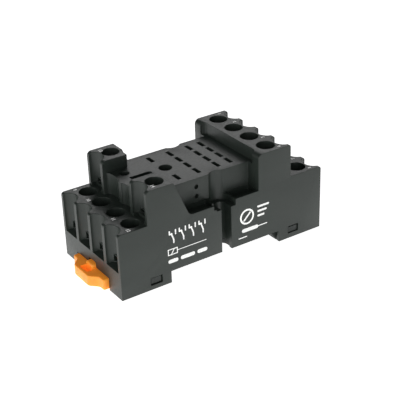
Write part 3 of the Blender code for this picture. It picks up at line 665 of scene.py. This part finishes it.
def driver_groove_tools():
    """Shallow upright grooves that guide a screwdriver between the towers."""
    tools = []
    for side in (-1, 1):
        y = side * PITCH / 2
        tools.append(rod(DRIVER_WALL_X, y, DECK - 0.02, PLATFORM + 1, 0.75, 64, radius_y=3.0))
    return tools


def underside_tools():
    """Room for the base plate and the clip, and the windows that its latches snap into."""
    inner = HALF_WIDTH - WALL
    tools = [
        block((WALL, -inner, UNDER), (LENGTH - WALL, inner, CAVITY_TOP)),
        block((UNDER, -8.6, UNDER), (WALL + 1, 8.6, 3.7)),
    ]
    hood = block((UNDER, -1.9, UNDER), (WALL + 1, 1.9, 5.3))
    tools.append(bevel_edges(hood, 0.6, 5, lambda a, b: runs_along_x(a, b) and a.z > 0))
    for start, bottom in ((8.8, 1.3), (LENGTH - 11.6, 1.5)):
        for side in (-1, 1):
            near, far = sorted((side * (inner - 1), side * OUTSIDE))
            window = block((start, near, bottom), (start + 3.7, far, bottom + 2.3))
            tools.append(bevel_edges(window, 0.2, 3, runs_along_y))
    return tools


def make_housing(material):
    case = round_case(rough_case())
    tools = driver_groove_tools() + underside_tools() + platform_tools()
    for side in (-1, 1):
        tools += pocket_tools(side)
    combine(case, tools)
    tools = []
    for name in TERMINALS:
        tools += terminal_tools(name)
    combine(case, tools)
    combine(case, [wire_lip(name) for name in TERMINALS], "UNION")
    smooth(case)
    return finish_piece(
        case, "socket_housing", material, "socket", "upper_housing", slot="socket_black"
    )


# Screws and clamps


def make_screws(material):
    """Cheese-head screws with a slot and a cross, one modelled and the others copied."""
    first = "com_1"
    _, x, y, head = terminal_place(first)
    top = head + HEAD_HEIGHT
    body = rod(x, y, head, top, HEAD_RADIUS)
    bevel_edges(body, 0.28, 4, lambda a, b: min(a.z, b.z) > top - 0.01)
    washer = rod(x, y, head - 0.02, head + 0.35, HEAD_RADIUS)
    shank = rod(x, y, head - 3.35, head + 0.3, SHANK_RADIUS, vertices=32)
    bevel_edges(shank, 0.3, 2, lambda a, b: max(a.z, b.z) < head - 3.3)
    combine(body, [washer, shank], "UNION")
    slot = block((x - 3, y - 0.38, top - 0.75), (x + 3, y + 0.38, top + 1))
    cross = block((x - 0.38, y - 1.25, top - 0.9), (x + 0.38, y + 1.25, top + 1))
    combine(body, [slot, bevel_edges(cross, 0.15, 2, is_vertical)])
    smooth(body)
    spread(body, first, "terminal_screw", "screw", material)


def make_clamps(material):
    """Bent cage clamps with grooves across the jaw that grips the wire."""
    first = "com_1"
    low, high = (in_case(corner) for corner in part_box(f"wire_clamp_{first}"))
    body = block(low, high)
    bevel_edges(body, 0.55, 4, runs_along_x)
    x, y = (low.x + high.x) / 2, (low.y + high.y) / 2
    window = block((low.x - 1, low.y + 0.7, low.z + 0.7), (high.x + 1, high.y - 0.7, high.z - 0.8))
    bevel_edges(window, 0.2, 2, runs_along_x)
    tools = [window, rod(x, y, high.z - 2, high.z + 1, 1.74, vertices=32)]
    for step in (-1, 0, 1):
        groove = x + step * 0.9
        start = (groove - 0.15, low.y + 0.9, low.z + 0.5)
        tools.append(block(start, (groove + 0.15, high.y - 0.9, low.z + 1)))
    combine(body, tools)
    smooth(body)
    spread(body, first, "wire_clamp", "clamp", material)


def spread(master, first, node, piece, material):
    """A copy of the first terminal's piece at every terminal, riding the body of its name."""
    start = Vector(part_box(f"{node}_{first}")[0])
    for name in TERMINALS:
        shift = Vector(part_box(f"{node}_{name}")[0]) - start
        title = f"{piece}_{name}"
        obj = copied(master, shift)
        finish_piece(obj, title, material, title, f"{node}_{name}", slot="zinc_steel")
    bpy.data.objects.remove(master, do_unlink=True)


# Rail clip


def make_clip(material):
    """The sliding clip: tongue, shoulders, flange and hood outside, plate and nose inside."""
    top, bottom = 3.4, 0.2
    tongue = block((-3.7, -6.1, bottom), (-1.0, 6.1, top))
    for side in (-1, 1):
        slice_off(tongue, (-3.7, side * 3.8, 0), (-0.72, side * 0.69, 0))
    combine(tongue, [block((-1.5, -8.3, bottom), (1.2, 8.3, top))], "UNION")
    clean(tongue)
    bevel_edges(tongue, 0.6, 6, lambda a, b: is_vertical(a, b) and a.x < 1)
    bevel_sharp(tongue, 0.3, segments=4, degrees=35)
    hood = block((-1.1, -1.8, top - 1), (0.9, 1.8, 4.7))
    bevel_edges(hood, 0.6, 6, lambda a, b: runs_along_x(a, b) and min(a.z, b.z) > 4)
    bevel_edges(hood, 0.5, 4, lambda a, b: lies_at_x(-1.1, a, b))
    plate = block((0.4, -7.9, 1.2), (15.0, 7.9, top))
    nose = block((14.0, -6.6, 1.2), (16.6, 6.6, 2.3))
    bevel_edges(nose, 0.5, 3, lambda a, b: abs(a.y - b.y) > 5 and min(a.x, b.x) > 16 and a.z > 2)
    combine(tongue, [hood, plate, nose], "UNION")
    slot = block((4.8, -1.7, UNDER), (10.7, 1.7, 6))
    bevel_edges(slot, 1.0, 5, is_vertical)
    hollow = block((-3.0, -2.0, 1.9), (-1.05, 2.0, 6))
    bevel_edges(hollow, 0.6, 5, is_vertical)
    combine(tongue, [slot, hollow])
    smooth(tongue)
    return finish_piece(
        tongue, "sliding_rail_clip", material, "clip", "rail_clip", slot="clip_orange"
    )


# Markings


def ink_bar(x0, z0, x1, z1, width, side):
    """One printed stroke on a side wall, from (x0, z0) to (x1, z1), with round ends."""
    length = math.hypot(x1 - x0, z1 - z0) + width
    deselect()
    bpy.ops.mesh.primitive_cube_add(
        size=1,
        location=at((x0 + x1) / 2, side * (HALF_WIDTH + INK_THICKNESS / 2), (z0 + z1) / 2),
        rotation=(0, -math.atan2(z1 - z0, x1 - x0), 0),
        scale=(length * MM, INK_THICKNESS * MM, width * MM),
    )
    stroke = settle()
    return bevel_edges(stroke, width * 0.45, 3, lambda a, b: abs(a.y - b.y) > INK_THICKNESS / 2)


def contact_symbol(x, z, side):
    """One changeover contact: two fixed ends and a blade that leans on the lower one."""
    width = 0.38
    return [
        ink_bar(x, z + 3.6, x, z + 2.7, width, side),
        ink_bar(x, z + 2.7, x + 0.75, z + 2.7, width, side),
        ink_bar(x + 1.9, z + 3.6, x + 1.9, z + 2.45, width, side),
        ink_bar(x + 1.25, z + 0.9, x + 0.55, z + 2.85, width, side),
        ink_bar(x + 1.25, z, x + 1.25, z + 0.9, width, side),
    ]


def side_print(side):
    """A plain contact diagram with a coil, and a screw head and wire end beside it."""
    strokes = []
    for column in range(4):
        strokes += contact_symbol(15.2 + column * 3.1, 11.9, side)
    left, right, low, high = 14.6, 17.4, 8.5, 10.1
    line, bar = 0.26, 1.1
    strokes += [
        ink_bar(left, low, right, low, line, side),
        ink_bar(left, high, right, high, line, side),
        ink_bar(left, low, left, high, line, side),
        ink_bar(right, low, right, high, line, side),
        ink_bar(left + 0.9, low, right - 0.9, high, line, side),
        ink_bar(right, (low + high) / 2, 26.6, (low + high) / 2, 0.2, side),
    ]
    for start, end in ((14.5, 17.6), (18.4, 22.9), (23.7, 26.9)):
        strokes.append(ink_bar(start + bar / 2, 6.5, end - bar / 2, 6.5, bar, side))
    strokes += screw_symbol(40.2, 11.7, side)
    for step in range(3):
        height = 13.6 - step * 1.4
        strokes.append(ink_bar(44.0, height, 47.4 - step * 0.8, height, 0.6, side))
    strokes += [ink_bar(39.0, 7.6, 43.4, 7.6, bar, side), ink_bar(43.9, 7.6, 46.9, 7.6, 0.3, side)]
    strokes.append(ink_bar(37.4, 5.6, 40.0, 5.6, 0.3, side))
    return strokes


def screw_symbol(x, z, side):
    """A ring with a slot across it."""
    turns, radius = 20, 2.1
    strokes = []
    for turn in range(turns):
        start = 2 * math.pi * turn / turns
        end = 2 * math.pi * (turn + 1) / turns
        strokes.append(
            ink_bar(
                x + radius * math.cos(start),
                z + radius * math.sin(start),
                x + radius * math.cos(end),
                z + radius * math.sin(end),
                0.5,
                side,
            )
        )
    strokes.append(ink_bar(x - 1.0, z - 1.0, x + 1.0, z + 1.0, 0.5, side))
    return strokes


def make_side_prints(material):
    for side, name in ((-1, "contact_diagram_print"), (1, "contact_diagram_print_back")):
        finish_piece(joined(side_print(side)), name, material, "socket")


def number_mesh(text, x, y, z, turn):
    deselect()
    bpy.ops.object.text_add(location=at(x, y, z))
    label = bpy.context.object
    label.data.body = text
    label.data.size = NUMBER_HEIGHT * MM
    label.data.align_x = "CENTER"
    label.data.align_y = "CENTER"
    label.data.extrude = 0.015 * MM
    label.data.offset = 0.02 * MM
    label.rotation_euler.z = turn
    bpy.ops.object.convert(target="MESH")
    return settle()


def make_numbers(material):
    """A terminal number on the outer side of each well."""
    labels = []
    for name in TERMINALS:
        group, x, y, _ = terminal_place(name)
        index = int(name.split("_")[1]) - 1
        toward_clip = group in ("com", "coil")
        deck = DECK if group in ("com", "no") else TOP
        side = 1 if y > 0 else -1
        reach = 2.2 if group == "coil" else 2.95
        away = -1.9 if group == "coil" else (-2.5 if toward_clip else 2.5)
        turn = -math.pi / 2 if toward_clip else math.pi / 2
        labels.append(
            number_mesh(str(NUMBERS[group] + index), x + away, y + side * reach, deck + 0.02, turn)
        )
    finish_piece(joined(labels), "terminal_numbers", material, "socket")


# Carried-over nodes


def dress_nodes(base_material, brass):
    """Materials for the nodes that stay as the CAD has them."""
    for name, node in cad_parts.items():
        if name == "base_plate":
            material = base_material
        elif name.startswith("contact_"):
            material = brass
        else:
            continue
        node.data.materials.clear()
        node.data.materials.append(material)


# Stage


def make_stage():
    deselect()
    bpy.ops.mesh.primitive_plane_add(size=FLOOR_SIZE, location=(0, 0, CASE_LOW.z - FLOOR_DROP))
    floor = bpy.context.object
    floor.name = "studio_floor"
    floor.data.materials.append(floor_paint())
    world = bpy.data.worlds.new("studio")
    bpy.context.scene.world = world
    world.use_nodes = True
    sky = world.node_tree.nodes["Background"]
    sky.inputs["Color"].default_value = (1.0, 1.0, 1.0, 1)
    sky.inputs["Strength"].default_value = 0.05


def add_softbox(name, place, size, power):
    light = bpy.data.lights.new(name, "AREA")
    light.shape = "RECTANGLE"
    light.size, light.size_y = size
    light.energy = power
    lamp = bpy.data.objects.new(name, light)
    bpy.context.scene.collection.objects.link(lamp)
    lamp.location = place
    aim = Vector(SOFTBOX_AIM) - Vector(place)
    lamp.rotation_euler = aim.to_track_quat("-Z", "Y").to_euler()


def make_camera():
    azimuth, elevation, roll = (math.radians(v) for v in CAMERA_TURN)
    back = Vector(
        (
            math.sin(azimuth) * math.cos(elevation),
            -math.cos(azimuth) * math.cos(elevation),
            math.sin(elevation),
        )
    )
    level = Vector((math.cos(azimuth), math.sin(azimuth), 0))
    upright = back.cross(level)
    right = level * math.cos(roll) + upright * math.sin(roll)
    up = upright * math.cos(roll) - level * math.sin(roll)
    camera = bpy.data.cameras.new("camera")
    camera.sensor_width = 36
    camera.lens = CAMERA_LENS
    camera.clip_start = 0.01
    obj = bpy.data.objects.new("camera", camera)
    bpy.context.scene.collection.objects.link(obj)
    turn = Matrix((right, up, back)).transposed().to_4x4()
    obj.matrix_world = Matrix.Translation(at(*CAMERA_PLACE)) @ turn
    bpy.context.scene.camera = obj


def main():
    make_camera()
    make_stage()
    for name, (place, size, power) in SOFTBOXES.items():
        add_softbox(name, place, size, power)
    bpy.context.scene.view_settings.view_transform = "Standard"
    black = moulded_plastic("housing_plastic", (0.020, 0.028, 0.023), (0.026, 0.035, 0.029), 0.40)
    base = moulded_plastic("base_plastic", (0.018, 0.024, 0.021), (0.024, 0.030, 0.027), 0.52)
    ink = pad_print()
    steel = plated_steel()
    make_housing(black)
    make_clip(clip_plastic())
    make_screws(steel)
    make_clamps(steel)
    make_side_prints(ink)
    make_numbers(ink)
    dress_nodes(base, stamped_brass())


main()
